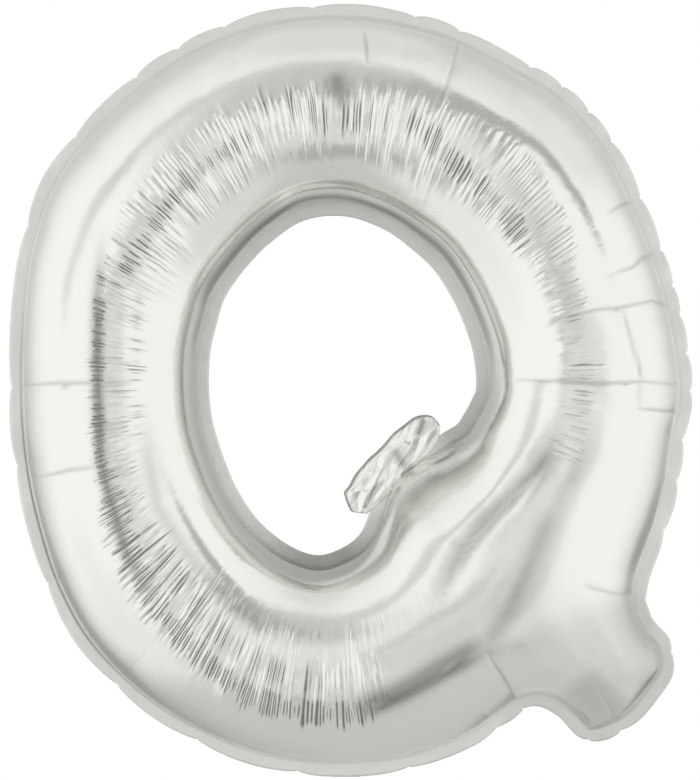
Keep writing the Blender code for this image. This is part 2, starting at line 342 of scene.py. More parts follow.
def coarse_film():
    """The flat film between its weld lines, [section, step across, xz], and the soap film's rise over it.

    Each grid point lies in the middle of its neighbours, spread evenly along its line. The rise solves a
    Poisson equation by triangles and cotangent weights, with no height at the welds.
    """
    outer, hole = cut_edge(0, 1, ROWS_APART), cut_edge(2, 3, ROWS_APART)
    outer_weld, hole_weld = outer + HEM_WIDTH * inward(outer), hole - HEM_WIDTH * inward(hole)
    share = np.linspace(0, 1, LINES_ACROSS + 1)
    grid = hole_weld[:, None] + (outer_weld - hole_weld)[:, None] * share[None, :, None]
    for _ in range(SMOOTHING_ROUNDS):
        around = np.roll(grid, 1, axis=0) + np.roll(grid, -1, axis=0)
        grid[:, 1:-1] = (grid[:, :-2] + grid[:, 2:] + around[:, 1:-1]) / 4
    for line in grid:
        line[:] = evenly(line, len(line))

    sections, lines = grid.shape[:2]
    points = grid.reshape(-1, 2)
    index = np.arange(sections * lines).reshape(sections, lines)
    following = np.roll(index, -1, axis=0)
    a, b, c, d = index[:, :-1], following[:, :-1], index[:, 1:], following[:, 1:]
    halves = ([a.ravel(), b.ravel(), d.ravel()], [a.ravel(), d.ravel(), c.ravel()])
    corners = np.concatenate([np.stack(half, axis=1) for half in halves])
    stiffness = np.zeros((len(points), len(points)))
    load = np.zeros(len(points))
    for turn in range(3):
        i, j, k = np.roll(corners, turn, axis=1).T
        first, second = points[i] - points[k], points[j] - points[k]
        area = np.abs(first[:, 0] * second[:, 1] - first[:, 1] * second[:, 0])
        weight = (first * second).sum(axis=1) / area / 2
        for row, column, sign in ((i, j, -1), (j, i, -1), (i, i, 1), (j, j, 1)):
            np.add.at(stiffness, (row, column), sign * weight)
        np.add.at(load, k, area / 3)
    free = index[:, 1:-1].ravel()
    rise = np.zeros(len(points))
    rise[free] = np.linalg.solve(stiffness[np.ix_(free, free)], load[free])
    return grid, rise.reshape(sections, lines)


def fine_film():
    """The smooth film, [section, point across]: its flat place, its height, and each point's share across.

    The coarse grid is sampled at steps that are equal along a half circle from weld to weld. The height is
    the root of the rise, which over a straight band is a half circle. It is read a little nearer the hole,
    which moves the crest outwards, and near the outer weld it is eased to a slant.
    """
    grid, rise = coarse_film()
    around = np.arange(len(LETTER) * FINE_PER_ROW) * ROWS_APART / FINE_PER_ROW
    share = (1 - np.cos(np.linspace(0, pi, FINE_ACROSS))) / 2
    shifted = share - CREST_SHIFT * np.sin(pi * share)
    flat = open_sample(closed_sample(grid, around).swapaxes(0, 1), share * LINES_ACROSS).swapaxes(0, 1)
    high = open_sample(closed_sample(rise, around).T, shifted * LINES_ACROSS).T
    height = FULLNESS * np.sqrt(np.maximum(high, 0))
    return flat, height + (eased(height, WELD_EASE) - height) * smooth(0.3, 0.7, share), share


def eased(height, ease):
    """The height squared over the root of both squares' sum, which makes a steep edge a slant."""
    return height**2 / np.sqrt(height**2 + ease**2)


FLAT, HEIGHT, SHARE = fine_film()
SECTIONS = len(FLAT)
MIDDLE = FLAT[:, FINE_ACROSS // 2]
ANGLE = np.degrees(np.arctan2(MIDDLE[:, 1], MIDDLE[:, 0])) % 360
ALONG_STEPS = np.linalg.norm(np.roll(MIDDLE, -1, axis=0) - MIDDLE, axis=1)
ALONG = np.concatenate([[0], ALONG_STEPS.cumsum()[:-1]])  # metres round the ring, on the film's middle line
ROUND = ALONG_STEPS.sum()
ACROSS = np.linalg.norm(FLAT[:, -1] - FLAT[:, 0], axis=1)[:, None]  # width of the flat film at each section
FROM_HOLE, FROM_OUTER = ACROSS * SHARE, ACROSS * (1 - SHARE)  # metres from either weld
# Where the film is slack beside the root of the tail's tip, it leaves the hole's weld at a slant
SLACK = (smooth(282, 308, ANGLE) * smooth(346, 318, ANGLE))[:, None] * smooth(0.24, 0.04, SHARE)
HEIGHT += (eased(HEIGHT, TIP_EASE) - HEIGHT) * SLACK
OUTER_EDGE = cut_edge(0, 1, FINE_PER_ROW)
HOLE_EDGE = cut_edge(2, 3, FINE_PER_ROW)


def by_angle(table):
    """Columns of a table of angles at every section of the film."""
    rows = np.array(table, float)
    return [np.interp(ANGLE, rows[:, 0], rows[:, column], period=360) for column in range(1, rows.shape[1])]


def wrinkle_family(rng, spacing, width, reach, height):
    """Radial wrinkles of the gathered film, as heights in metres [section, point across].

    Each wrinkle is a ridge with straight flanks round the ring times a flat-topped bump across it, and all
    are summed as one product of two matrices. They come in clusters, and a slow wave slants them.
    """
    count = int(ROUND / spacing)
    centre = (np.arange(count) + rng.uniform(-0.3, 0.3, count)) * spacing
    nearest = np.searchsorted(ALONG, centre % ROUND) % SECTIONS
    start, end, strength = (column[nearest] for column in by_angle(GATHERS))
    room = end - start
    half = room * rng.uniform(reach[0], reach[1], count) / 2
    middle = start + half + (room - 2 * half) * rng.uniform(0, 1, count)
    swells = sum(np.sin(2 * pi * k * centre / ROUND + rng.uniform(0, 2 * pi)) for k in (31, 37, 44, 53))
    cluster = np.clip(0.72 + 0.3 * swells, 0.3, 1.2)
    tall = cluster * strength * height * rng.uniform(0.5, 1.4, count)
    apart = (ALONG[:, None] - centre[None] + ROUND / 2) % ROUND - ROUND / 2
    ridge = np.clip(1 - np.abs(apart) / (width * rng.uniform(0.8, 1.3, count)), 0, 1)
    length = np.exp(-(((SHARE[None] - middle[:, None]) / half[:, None]) ** 4))
    bumps = (ridge * tall) @ length

    wave = sum(
        rng.uniform(-1, 1) * np.sin(2 * pi * k * ALONG / ROUND + rng.uniform(0, 2 * pi))
        for k in (3, 5, 8, 13, 21)
    )
    shift = WRINKLE_SLANT * wave[:, None] * (SHARE[None] - 0.45) * SECTIONS / ROUND
    place = (np.arange(SECTIONS)[:, None] + shift) % SECTIONS
    low = place.astype(int) % SECTIONS
    part = place - np.floor(place)
    column = np.arange(FINE_ACROSS)[None]
    return bumps[low, column] * (1 - part) + bumps[(low + 1) % SECTIONS, column] * part


def undulation(rng, count, around, over, height):
    """Slow swells of the film: a sum of waves with random directions and phases, [section, point across]."""
    total = np.zeros_like(HEIGHT)
    for _ in range(count):
        turns = round(ROUND / rng.uniform(*around))
        steps = rng.uniform(*over)
        phase = 2 * pi * (turns * ALONG[:, None] / ROUND + steps * SHARE[None] + rng.uniform())
        total += np.sin(phase) * rng.uniform(0.5, 1)
    return height * total / np.sqrt(count)


def between_puckers():
    """At each section: the share of the way from one pucker to the next, and the distance between both."""
    apart = np.linalg.norm(OUTER_EDGE[None] - np.array(PUCKERS)[:, None] / 1000, axis=2)
    places = np.unique(apart.argmin(axis=1))
    edge = np.linalg.norm(np.roll(OUTER_EDGE, -1, axis=0) - OUTER_EDGE, axis=1)
    travel = np.concatenate([[0], edge.cumsum()])
    stops = np.concatenate([travel[places], [travel[places[0]] + travel[-1]]])
    here = travel[:-1] + np.where(travel[:-1] < stops[0], travel[-1], 0)
    slot = np.clip(np.searchsorted(stops, here, side="right") - 1, 0, len(places) - 1)
    gap = np.diff(stops)[slot]
    return (here - stops[slot]) / gap, gap


def pillows(height, reach):
    """The film's swelling between two puckers of the outer hem, except on the taut stretch above the tail.

    It is half a sine to a power, and dies away inwards as a bell.
    """
    share, gap = between_puckers()
    swell = np.sin(pi * np.clip(share, 0, 1)) ** 0.8 * np.minimum(gap / FULL_PILLOW, 1)
    swell *= 1 - smooth(320, 326, ANGLE) * smooth(358, 350, ANGLE)
    fade = smooth(0, 0.012, FROM_OUTER) * bell(FROM_OUTER, 0, reach)
    return height * (swell[:, None] - 0.6) * fade


def displaced(side, relief):
    """The film on one side of the letter, [section, point across, xyz], with its relief along its normal."""
    points = np.stack([FLAT[..., 0], side * (FILM_LIFT + HEIGHT), FLAT[..., 1]], axis=2)
    along = np.roll(points, -1, axis=0) - np.roll(points, 1, axis=0)
    over = np.gradient(points, axis=1)
    normal = np.cross(over, along)
    normal /= np.linalg.norm(normal, axis=2, keepdims=True)
    normal *= np.sign(side * normal[:, FINE_ACROSS // 2, 1].mean())
    ends = smooth(0, 0.01, SHARE) * smooth(0, 0.01, 1 - SHARE)
    return points + normal * (relief * ends[None])[..., None]


def add_grid(name, points, uv, material, ring=True, tube=False, marks=None):
    """A mesh through a grid of points [section, point across, xyz], closed as a ring, a tube or both.

    uv is [section, point across, 2], and past a closed seam it is carried on by its last step. Points that
    share a place, as at a pole or along a pinched end, are joined into one.
    """
    rows, columns = points.shape[:2]
    bands, strips = rows if ring else rows - 1, columns if tube else columns - 1
    i, j = np.meshgrid(np.arange(bands), np.arange(strips), indexing="ij")
    corners = [(i, j), (i + 1, j), (i + 1, j + 1), (i, j + 1)]
    faces = np.stack([(a % rows) * columns + b % columns for a, b in corners], axis=2).reshape(-1, 4)
    wide = np.concatenate([uv, 2 * uv[-1:] - uv[-2:-1]])
    wide = np.concatenate([wide, 2 * wide[:, -1:] - wide[:, -2:-1]], axis=1)
    loops = np.stack([wide[a, b] for a, b in corners], axis=2).reshape(-1, 4, 2)
    mesh = bpy.data.meshes.new(name)
    mesh.from_pydata(points.reshape(-1, 3), [], faces)
    layer = mesh.uv_layers.new(name="film")
    layer.data.foreach_set("uv", np.ascontiguousarray(loops, np.float32).ravel())
    for label, values in (marks or {}).items():
        attribute = mesh.attributes.new(label, "FLOAT", "POINT")
        attribute.data.foreach_set("value", values.astype(np.float32).ravel())
    whole = bmesh.new()
    whole.from_mesh(mesh)
    bmesh.ops.remove_doubles(whole, verts=whole.verts, dist=1e-6)
    whole.to_mesh(mesh)
    whole.free()
    mesh.shade_smooth()
    mesh.materials.append(material)
    made = bpy.data.objects.new(name, mesh)
    bpy.context.scene.collection.objects.link(made)
    return made


def film_uv(seed):
    """The film's own map: the number of pleats round the ring, and the metres across from the hole.

    The pleats' spacing wanders by a sum of slow sines, and another one leans them.
    """
    rng = np.random.default_rng(seed)
    wander, lean = (
        sum(rng.uniform(0.4, 1) * np.sin(2 * pi * (k * ALONG / ROUND + rng.uniform())) for k in waves)
        for waves in ((5, 9, 14, 23), (4, 7, 13, 22))
    )
    pleats = round(ROUND / PLEAT_SPACING) * ALONG / ROUND + 0.6 * wander
    round_way = pleats[:, None] + 0.4 * lean[:, None] * (SHARE[None] - 0.45)
    return np.stack([round_way, FROM_HOLE], axis=2)


def gather_mark():
    """How gathered the film is at each point, for the fine pleats of its material.

    Across the film it is a flat-topped tent, steeper on the outer side.
    """
    start, end, strength = (column[:, None] for column in by_angle(GATHERS))
    inside = np.minimum((SHARE[None] - start) / 0.45, (end - SHARE[None]) / 0.25) / (end - start)
    return np.clip(inside, 0, 1) * np.minimum(strength, 1)


def fold_distances(corners, flat):
    """Each flat point's distance to a line through corners, and the line's share where it is nearest."""
    line = np.array(corners) / 1000
    run = np.linalg.norm(np.diff(line, axis=0), axis=1)
    travel = np.concatenate([[0], run.cumsum()]) / run.sum()
    nearest = np.full(flat.shape[:2], 9.0)
    share = np.zeros(flat.shape[:2])
    for start, end, first, last in zip(line[:-1], line[1:], travel[:-1], travel[1:]):
        step = end - start
        t = np.clip(((flat - start) @ step) / (step @ step), 0, 1)
        away = np.linalg.norm(flat - start - t[..., None] * step, axis=2)
        closer = away < nearest
        nearest = np.where(closer, away, nearest)
        share = np.where(closer, first + t * (last - first), share)
    return nearest, share


def creases(table):
    """Long folds of the film, [section, point across]: their grooves as heights, and painted crease shade.

    A groove's depth falls off with the distance from its line, as a cusp or as a Gaussian bell, and to
    nothing at the line's two ends. A sharp fold also gets a dark line of painted shade in the colour.
    """
    total = np.zeros_like(HEIGHT)
    crease_shade = np.zeros_like(HEIGHT)
    for shape, depth, width, corners in table:
        nearest, share = fold_distances(corners, FLAT)
        if shape == "sharp":
            taper = np.sqrt(np.clip(4 * share * (1 - share), 0, 1))
            total -= depth * np.exp(-nearest / width) * taper
            # painted shade: a dark line in the film's colour along a sharp fold
            crease_shade = np.maximum(crease_shade, bell(nearest, 0, CREASE_LINE) * taper)
        else:
            total -= depth * bell(nearest, 0, width) * faded(share)
    return total, crease_shade


def faded(share):
    """1 along the middle of a line, and falling smoothly to 0 over the last quarter at either end."""
    return smooth(0, 0.25, share) * smooth(0, 0.25, 1 - share)


def patches(table, flat=FLAT):
    """The table's soft patches as a share, [section, point across]: a bell across each one's line."""
    total = np.zeros(flat.shape[:2])
    for strength, width, corners in table:
        nearest, share = fold_distances(corners, flat)
        total = np.maximum(total, strength * bell(nearest, 0, width) * faded(share))
    return total


def rim_shade():
    """Painted shade by the film's welds: a line and a band at the outer one, groove and wall at the hole."""
    line, band, groove, wall = (column[:, None] for column in by_angle(RIM_SHADES)[:4])
    line, band = line * (1 - smooth(*WELD_LINE, FROM_OUTER)), band * (1 - smooth(*WELD_BAND, FROM_OUTER))
    hole = np.maximum(groove * bell(FROM_HOLE, *HOLE_GROOVE_SHADE), wall) * (1 - smooth(*HOLE_WALL, FROM_HOLE))
    return np.maximum(np.maximum(line, band), hole)


def tail_crumple():
    """Slack, crumpled film on the tail, in metres."""
    near = 1 - smooth(0.04, 0.11, np.linalg.norm(FLAT - np.array(TAIL_MIDDLE), axis=2))
    return facets(TAIL_FACETS, FLAT) * near


def hole_line(start_angle, end_angle):
    """The fine fold that runs round the hole a little outside its hem, between two angles."""
    turned = (ANGLE - start_angle) % 360
    span = (end_angle - start_angle) % 360
    present = smooth(0, 12, turned) * smooth(0, 12, span - turned) * (turned < span)
    fold = bell(FROM_HOLE, *HOLE_RIDGE) - 0.7 * bell(FROM_HOLE, *HOLE_FURROW)
    return HOLE_FOLD_HEIGHT * fold * present[:, None]


def film_relief(seed, folds, shades):
    """What lifts or sinks one half of the film from its smooth bulge, in metres, and its painted shade."""
    rng = np.random.default_rng(seed)
    relief = wrinkle_family(rng, spacing=0.0105, width=0.0048, reach=(0.4, 1.0), height=0.0008)
    relief += wrinkle_family(rng, spacing=0.027, width=0.015, reach=(0.25, 0.6), height=0.0020)
    relief += undulation(rng, count=14, around=(0.10, 0.35), over=(0.3, 2.2), height=0.0006)
    relief += pillows(height=0.0018, reach=0.050)
    relief += hole_line(start_angle=5, end_angle=152)
    relief += tail_crumple()
    sunk, crease_shade = creases(folds)
    return relief + sunk, np.maximum(np.maximum(0.45 * crease_shade, rim_shade()), patches(shades))


def node_maker(tree):
    """A short way to add a node, set its values, join its inputs and get one of its outputs."""

    def make(kind, settings=None, out=0, **inputs):
        node = tree.nodes.new("ShaderNode" + kind)
        for key, value in (settings or {}).items():
            setattr(node, key, value)
        for key, value in inputs.items():
            socket = node.inputs[int(key[1:])] if key[0] == "i" and key[1:].isdigit() else node.inputs[key]
            if isinstance(value, bpy.types.NodeSocket):
                tree.links.new(value, socket)
            else:
                socket.default_value = value
        return node.outputs[out]

    return make


SILVER = (0.897, 0.905, 0.860)
WELDED_SILVER = (0.835, 0.842, 0.802)
CLEAR_FILM = (0.86, 0.86, 0.84)
PAINTED_SHADE_BRIGHTNESS = 0.30  # how bright the colour is left where its painted shade is fullest
FILM_ROUGHNESS = (0.11, 0.20)
HEM_ROUGHNESS = (0.34, 0.50)


def new_material(name, metallic=0.0):
    """A material, a short way to add nodes to it, and its shader."""
    material = bpy.data.materials.new(name)
    material.use_nodes = True
    shader = material.node_tree.nodes["Principled BSDF"]
    shader.inputs["Metallic"].default_value = metallic
    return material, node_maker(material.node_tree), shader


def feed(shader, **outputs):
    """Join outputs to the shader's inputs of these names, where _ stands for a space."""
    for name, output in outputs.items():
        shader.id_data.links.new(output, shader.inputs[name.replace("_", " ")])


def ranged(make, value, low, high, interpolation="LINEAR"):
    """A value carried from one range to another, each a pair, and held at its ends."""
    ends = {"From Min": low[0], "From Max": low[1], "To Min": high[0], "To Max": high[1]}
    return make("MapRange", {"interpolation_type": interpolation}, Value=value, **ends)


def mark(make, label):
    """One of the mesh's own marks."""
    return make("Attribute", {"attribute_name": label}, out="Fac")


def painted_shade_colour(make, colour, shade_share):
    """The colour, darkened by its share of painted shade."""
    dark = [PAINTED_SHADE_BRIGHTNESS * part for part in colour]
    return make("Mix", {"data_type": "RGBA"}, out=2, i0=shade_share, i6=(*colour, 1.0), i7=(*dark, 1.0))


def film_material():
    """Bright metallised film: a mirror with a slight haze, and with fine pleats where it is gathered.

    The map counts pleats. Each is a straight-sided ridge that reaches as far into the edge of the gathered
    zone as a random number of its own allows, and clusters are taller. Streaked film has grooves too,
    twice as close together, each with a reach and a sharpness of its own, with painted shade along their
    valleys. The mesh's own mark of painted shade darkens the colour as well.
    """
    material, make, shader = new_material("silver_film", metallic=1.0)

    def compute(operation, *values, clamp=False):
        sockets = {f"i{n}": value for n, value in enumerate(values)}
        return make("Math", {"operation": operation, "use_clamp": clamp}, **sockets)

    def noise(where, scale, detail, stretch=(1.0, 1.0, 1.0)):
        place = make("Mapping", Vector=where, Scale=stretch)
        return make("TexNoise", Vector=place, Scale=scale, Detail=detail)

    def own_number(whole):
        return make("TexWhiteNoise", {"noise_dimensions": "1D"}, W=whole)

    def reached(label, lot, spread, ramp):
        beyond = compute("SUBTRACT", mark(make, label), compute("MULTIPLY", lot, spread))
        return compute("DIVIDE", beyond, ramp, clamp=True)

    way = make("UVMap", {"uv_map": "film"})
    where = make("TexCoord", out="Object")
    pleats = compute("ADD", noise(way, 1.0, 1.0, (0.6, 12.0, 1.0)), make("SeparateXYZ", Vector=way))
    ridge = compute("MULTIPLY", compute("PINGPONG", pleats, 0.5), 2.0)
    grooves = compute("MULTIPLY", pleats, 2.0)
    hollow = compute("MULTIPLY_ADD", compute("PINGPONG", grooves, 0.5), -2.0, 1.0)
    turn = own_number(compute("ROUND", grooves))
    streaked = reached("streaked", turn, 0.8, 0.4)
    gathered = reached("gathered", own_number(compute("FLOOR", pleats)), 0.75, 0.25)
    cluster = ranged(make, noise(way, 1.0, 1.0, (0.15, 13.0, 1.0)), (0.42, 0.58), (0.2, 1.0))
    present = compute("MAXIMUM", compute("MULTIPLY", gathered, cluster), compute("MULTIPLY", streaked, 0.8))
    valley = compute("POWER", hollow, compute("MULTIPLY_ADD", turn, 2.0, 1.2))
    # painted shade in the valleys of the streaked pleats
    streaks = compute("MULTIPLY", compute("MULTIPLY", valley, present), streaked)
    # the film's whole painted shade: the valleys' and the mesh's mark
    shade_share = compute("MAXIMUM", compute("MULTIPLY", streaks, 2.0, clamp=True), mark(make, "dulled"))

    hair = noise(way, 1.0, 3.0, (3.0, 26.0, 1.0))
    hair = compute("MULTIPLY", hair, compute("ADD", mark(make, "gathered"), 0.25))
    height = compute("MULTIPLY", compute("ADD", noise(where, 55.0, 3.0), hair), HAIR_HEIGHT)
    height = compute("MULTIPLY_ADD", compute("MULTIPLY", ridge, present), PLEAT_HEIGHT, height)
    height = compute("MULTIPLY_ADD", compute("MULTIPLY", hollow, present), -GROOVE_DEPTH, height)
    bump = make("Bump", Height=height, Distance=1.0, Strength=1.0)
    haze = ranged(make, noise(where, 9.0, 4.0), (0.3, 0.7), FILM_ROUGHNESS)
    feed(shader, Base_Color=painted_shade_colour(make, SILVER, shade_share), Roughness=haze, Normal=bump)
    return material


def hem_material():
    """Two films welded flat: satin, with a patchy haze, a fine grain, and colour darkened by painted shade.
    """
    material, make, shader = new_material("welded_hem", metallic=1.0)
    where = make("TexCoord", out="Object")
    haze = make("TexNoise", Vector=where, Scale=30.0, Detail=4.0, Roughness=0.6)
    haze = ranged(make, haze, (0, 1), HEM_ROUGHNESS)
    grain = make("TexNoise", Vector=where, Scale=160.0, Detail=3.0)
    bump = make("Bump", Height=grain, Distance=0.0004, Strength=1.0)
    # colour darkened by the hem's painted shade
    colour = painted_shade_colour(make, WELDED_SILVER, mark(make, "dulled"))
    feed(shader, Base_Color=colour, Roughness=haze, Normal=bump)
    return material


def add_film_halves(film):
    """The front and back halves, each a bulging sheet from the hole's weld to the outer weld."""
    for name, node, side, seed, folds, streaks, shades in (
        ("front_film", "front_panel", -1, 4, FRONT_FOLDS, FRONT_STREAKS, FRONT_SHADES),
        ("back_film", "back_panel", 1, 9, BACK_FOLDS, BACK_STREAKS, []),
    ):
        # relief in metres, and painted shade for the film's colour
        relief, dulled = film_relief(seed, folds, shades)
        marks = {"gathered": gather_mark(), "dulled": dulled, "streaked": patches(streaks)}
        made = add_grid(name, displaced(side, relief), film_uv(seed), film, marks=marks)
        # a face on the crest, where the outside of the sheet faces away from the welding plane
        crest = made.data.polygons[FINE_ACROSS // 2]
        if crest.normal.y * side < 0:
            made.data.flip_normals()
        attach(made, "envelope")
        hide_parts(node)


def scallops():
    """How far the outer hem's cut edge swells out between puckers at each section: half a sine's root."""
    share, gap = between_puckers()
    arch = np.sin(pi * np.clip(share, 0, 1)) ** 0.5
    away = away_from_neck()
    return SCALLOP_HEIGHT * np.minimum(gap / FULL_SCALLOP, 1) * (arch - 0.70) * away + 0.0012 * (1 - away)


def away_from_neck():
    """0 where the filling neck folds over the hem's edge, rising to 1 on either side, at each section."""
    beside = np.abs(OUTER_EDGE[:, 0])
    return np.where(OUTER_EDGE[:, 1] < -0.4, smooth(0.024, 0.060, beside), 1.0)


def ruffle(seed, waves, height):
    """A wavy edge: a sum of sines round the letter with random phases, in metres, at each section."""
    rng = np.random.default_rng(seed)
    total = sum(np.sin(2 * pi * (k * ALONG / ROUND + rng.uniform())) * rng.uniform(0.5, 1) for k in waves)
    return height * total / np.sqrt(len(waves))


def hem_points(edge, weld, under, waver):
    """Closed sections of a welded hem, [section, point, xyz]: out over the front, and back behind.

    The hem starts a little under the film, lies flat as far as the weld line and then wavers more and more
    towards its cut edge.
    """
    steps = np.linspace(0, 1, 7)
    flat = np.concatenate([under[None], [weld + (edge - weld) * step for step in steps]])
    lean = np.concatenate([[0], steps**1.4])[:, None] * waver[None]
    front, back = (
        np.stack([flat[..., 0], lean + side * HEM_THICKNESS / 2, flat[..., 1]], axis=2) for side in (-1, 1)
    )
    return np.concatenate([front, back[::-1]]).swapaxes(0, 1)


def add_hems(material):
    """The flat welded hems, which reach a little under the film."""
    under = FINE_ACROSS // 6
    outer = OUTER_EDGE - inward(OUTER_EDGE) * scallops()[:, None]
    share, _ = between_puckers()
    waver = 0.0008 * np.sin(2 * pi * share) + ruffle(seed=3, waves=(29, 41, 61, 94), height=0.0005)
    waver *= away_from_neck()
    hole_waver = ruffle(seed=5, waves=(31, 47, 58), height=0.0004)
    # painted shade of the hems: a line at the outer weld, the hole's hem all over, and the outer hem by the
    # tail
    weld_line, *_, lip = by_angle(RIM_SHADES)
    tail = TAIL_HEM_SHADE * smooth(288, 298, ANGLE) * smooth(336, 326, ANGLE)
    for name, node, edge, weld, hidden, lean, line, dulled, way in (
        ("outer_hem_band", "outer_hem", outer, FLAT[:, -1], FLAT[:, -1 - under], waver, weld_line, tail, -1),
        ("hole_hem_band", "hole_hem", HOLE_EDGE, FLAT[:, 0], FLAT[:, under], hole_waver, lip, lip, 1),
    ):
        points = hem_points(edge, weld, hidden, lean)[:, ::way]  # in the order that turns its faces outwards
        # painted shade across each hem, and its line on the points at the weld
        row = np.repeat(dulled[:, None], points.shape[1], axis=1)
        row[:, [1, -2]] = np.maximum(row[:, [1, -2]], line[:, None])
        uv = np.stack(np.broadcast_arrays(ALONG[:, None], np.arange(points.shape[1]) * HEM_STEP), axis=2)
        made = add_grid(name, points, uv, material, tube=True, marks={"dulled": row})
        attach(made, "envelope")
        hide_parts(node)


# The tail's tip, a crinkled flap of foil in the hole, x and z in millimetres from its lower left end to its
# upper right one: where it leaves the ring, and its free edge
TIP_ROOT = [
    (27, -159), (38, -149), (52, -136), (62, -123), (69, -113), (77, -104), (86, -95), (93, -91), (100, -87),
    (106, -81), (111, -74), (115, -65), (117, -57),
]
TIP_FREE = [
    (27, -159), (19, -158), (11, -157), (7, -155), (3, -147), (0, -138), (-1, -132), (5, -124), (12, -111),
    (22, -99), (30, -90), (38, -83), (48, -73), (59, -60), (73, -49), (85, -40), (96, -37), (106, -38),
    (113, -44), (117, -50), (117, -57),
]
TIP_HALF = 0.0038  # half of the flap's thickness in its middle
TIP_THIN = 0.0012  # the least that a crumple leaves of it, away from the edges
TIP_MAP = (0.15, 0.04)  # what its map spans: a part of one pleat, and metres
# Crumpled facets of the flap and of the tail. Columns: direction of the folds' spacing in degrees, spacing,
# height, phase
TIP_FACETS = [(-27, 0.017, 0.0026, 0.35), (-75, 0.045, 0.0012, 0.55), (40, 0.030, 0.0005, 0.10)]
TAIL_FACETS = [(20, 0.024, 0.00007, 0.35), (-62, 0.056, 0.00015, 0.55), (50, 0.041, 0.00008, 0.10)]
# Painted shade on the flap: strength, half width in metres, then x and z in millimetres along them
TIP_SHADES = [
    (0.9, 0.0046, [(88, -66), (94, -52), (99, -38)]),
    (0.5, 0.0050, [(60, -78), (68, -92), (76, -106)]),
    (0.9, 0.0014, [(66, -114), (75, -105), (86, -95)]),
    (0.7, 0.0013, [(28, -146), (34, -130), (43, -110)]),
    (0.6, 0.0012, [(36, -126), (41, -114), (49, -100)]),
    (0.6, 0.0016, [(72, -69), (77, -71), (82, -73)]),
]


def curve(corners, count):
    """Points evenly spaced along a cubic through corners in millimetres."""
    rows = np.array(corners, float) / 1000
    return evenly(open_sample(rows, np.linspace(0, len(rows) - 1, 600)), count)


def facets(table, flat):
    """Crumpled foil over flat points [..., xz]: a sum of zigzag waves, bent by slower sines, in metres."""
    total = np.zeros(flat.shape[:-1])
    for degrees, spacing, height, phase in table:
        turn = radians(degrees)
        along = flat[..., 0] * cos(turn) + flat[..., 1] * sin(turn)
        aside = flat[..., 1] * cos(turn) - flat[..., 0] * sin(turn)
        bent = along / spacing + phase + 0.1 * np.sin(2 * pi * (aside / (3.1 * spacing) + phase))
        total += height * (2 * np.abs(2 * (bent - np.floor(bent + 0.5))) - 1)
    return total


def add_tail_tip(material):
    """The flap: two crumpled skins, a lens from its root on the ring to its free edge, closed behind."""
    sections, steps = 180, 60
    root, free = curve(TIP_ROOT, sections), curve(TIP_FREE, sections)
    share = np.linspace(0, 1, steps)
    flat = root[:, None] + (free - root)[:, None] * share[None, :, None]
    ends = np.sqrt(np.abs(np.sin(np.linspace(0, pi, sections))))[:, None]
    lens = np.minimum(1, 0.5 + 1.6 * share) * np.sqrt(np.clip(1 - share**8, 0, 1))
    half = TIP_HALF * ends * lens[None]
    fade = np.minimum(1, 6 * (1 - share)) * np.minimum(1, 0.35 + 2 * share)
    crumple = facets(TIP_FACETS, flat) * ends * fade[None]
    least = np.minimum(TIP_THIN, half)
    lift, other = np.maximum(half + crumple, least), np.maximum(half - 0.6 * crumple, least)
    front = np.stack([flat[..., 0], -lift, flat[..., 1]], axis=2)
    back = np.stack([flat[..., 0], other, flat[..., 1]], axis=2)[:, ::-1]
    points = np.concatenate([front, back], axis=1)
    around = np.concatenate([share, 2 - share[::-1]])
    along = np.linspace(0, TIP_MAP[0], sections)[:, None]
    uv = np.stack(np.broadcast_arrays(along, TIP_MAP[1] * around), axis=2)
    # painted shade: a dark outline along the flap's free edge, and the grey places of TIP_SHADES
    shade = np.maximum(0.8 * smooth(0.90, 0.95, share)[None], patches(TIP_SHADES, flat))
    marks = {"dulled": np.concatenate([shade, shade[:, ::-1]], axis=1)}
    made = add_grid("tail_tip_foil", points, uv, material, ring=False, tube=True, marks=marks)
    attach(made, "envelope")
    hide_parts("tail_tip")


# Filling neck, folded up behind the bottom of the letter
NECK_FOLD = (0.0, 0.0, -0.4835)  # on its fold line
NECK_RISE = radians(26.0)  # slope above +Y
NECK_START, NECK_LENGTH = 0.0019, 0.080
NECK_WIDTH, LINER_WIDTH = 0.038, 0.028
LAYER = 0.0010  # from the liner to either film
NECK_FILM = 0.0003
NECK_RIPPLES = (0.00042, 0.00024)


